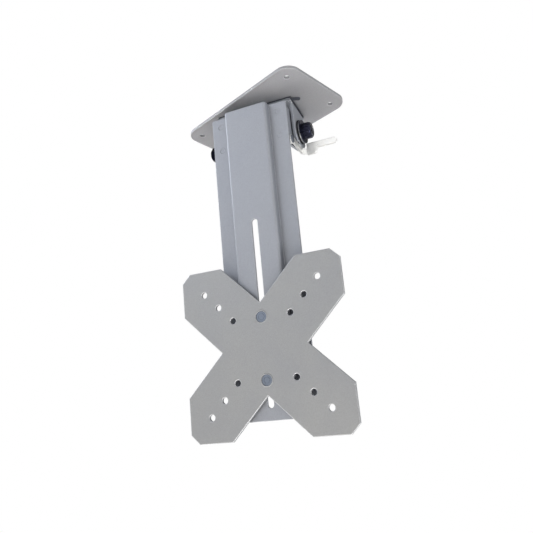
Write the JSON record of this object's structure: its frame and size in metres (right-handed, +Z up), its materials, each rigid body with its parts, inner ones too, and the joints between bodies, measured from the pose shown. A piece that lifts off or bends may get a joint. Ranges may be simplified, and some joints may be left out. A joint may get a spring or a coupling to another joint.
{
  "type": "tv ceiling mount",
  "caption": "Ceiling mount for a flat screen: plate, swivelling and tilting bracket with fluted knob and latch lever, slotted folded arm and sliding cross-shaped screen plate",
  "frame": {"origin": "the middle of the ceiling plate's upper face, which lies against the ceiling, on the swivel axis", "axes": "+Z up into the ceiling, X along the ceiling plate's long side, -Y towards the viewer; the bracket is stored turned 22.6 degrees and the arm leaning back 7.3 degrees, as in the picture"},
  "size_m": [0.147, 0.0942, 0.297],
  "materials": {
    "silver_powder_coat": "silver-grey powder coat on folded steel sheet",
    "bright_zinc_steel": "bright zinc-plated steel",
    "black_steel": "black oxide steel",
    "spring_wire": "drawn spring steel wire",
    "black_fibre": "black friction fibre",
    "black_nylon": "black moulded nylon",
    "grey_steel_tube": "plain cut steel tube"
  },
  "bodies": {
    "ceiling": {"ceiling_plate": "silver_powder_coat", "swivel_bolt": "black_steel", "swivel_washer": "bright_zinc_steel", "swivel_spring": "black_steel", "swivel_nut": "bright_zinc_steel"},
    "bracket": {"swivel_bracket": "silver_powder_coat", "swivel_glide": "black_nylon", "pivot_bolt": "black_steel", "pivot_spacer": "grey_steel_tube", "friction_washer_right": "black_fibre", "friction_washer_left": "black_fibre", "pressure_washer_right": "bright_zinc_steel", "pressure_washer_left": "bright_zinc_steel", "disc_springs": "black_steel", "backing_washer": "bright_zinc_steel", "pivot_nut": "black_steel"},
    "knob": {"tilt_knob": "black_nylon", "knob_insert": "bright_zinc_steel"},
    "arm": {"arm_panel": "silver_powder_coat", "hinge_channel": "silver_powder_coat", "pivot_bush_right": "black_nylon", "pivot_bush_left": "black_nylon"},
    "latch": {"latch_lever": "bright_zinc_steel", "latch_link": "bright_zinc_steel", "latch_shaft": "bright_zinc_steel", "latch_spacers": "bright_zinc_steel", "latch_clips": "black_steel", "latch_spring": "spring_wire"},
    "carriage": {"screen_plate": "silver_powder_coat", "slide_stud_upper": "bright_zinc_steel", "slide_stud_lower": "bright_zinc_steel", "front_glide_upper": "black_nylon", "front_glide_lower": "black_nylon", "rear_glide_upper": "black_nylon", "rear_glide_lower": "black_nylon", "stud_washer_upper": "bright_zinc_steel", "stud_washer_lower": "bright_zinc_steel", "stud_nut_upper": "bright_zinc_steel", "stud_nut_lower": "bright_zinc_steel"}
  },
  "joints": [
    {"name": "swivel", "type": "hinge", "parent": "ceiling", "child": "bracket", "pos_m": [0, 0, -0.003], "axis": [0, 0, 1], "continuous": true},
    {"name": "tilt", "type": "hinge", "parent": "bracket", "child": "arm", "pos_m": [0.001, -0.0024, -0.029], "axis": [0.9232, 0.3843, 0], "range_deg": [-12.3, 82.7]},
    {"name": "knob_turn", "type": "hinge", "parent": "bracket", "child": "knob", "pos_m": [0.0407, 0.01412, -0.029], "axis": [0.9232, 0.3843, 0], "continuous": true},
    {"name": "latch_pull", "type": "hinge", "parent": "arm", "child": "latch", "pos_m": [0.00994, -0.02387, -0.04892], "axis": [-0.9232, -0.3843, 0], "range_deg": [0, 14], "stiffness_Nm_per_rad": 0.12, "springref_deg": -20.05, "deforming": ["latch_spring"]},
    {"name": "carriage_slide", "type": "slide", "parent": "arm", "child": "carriage", "axis": [0.0488, -0.1173, 0.9919], "range_m": [-0.0186, 0.0806]}
  ]
}
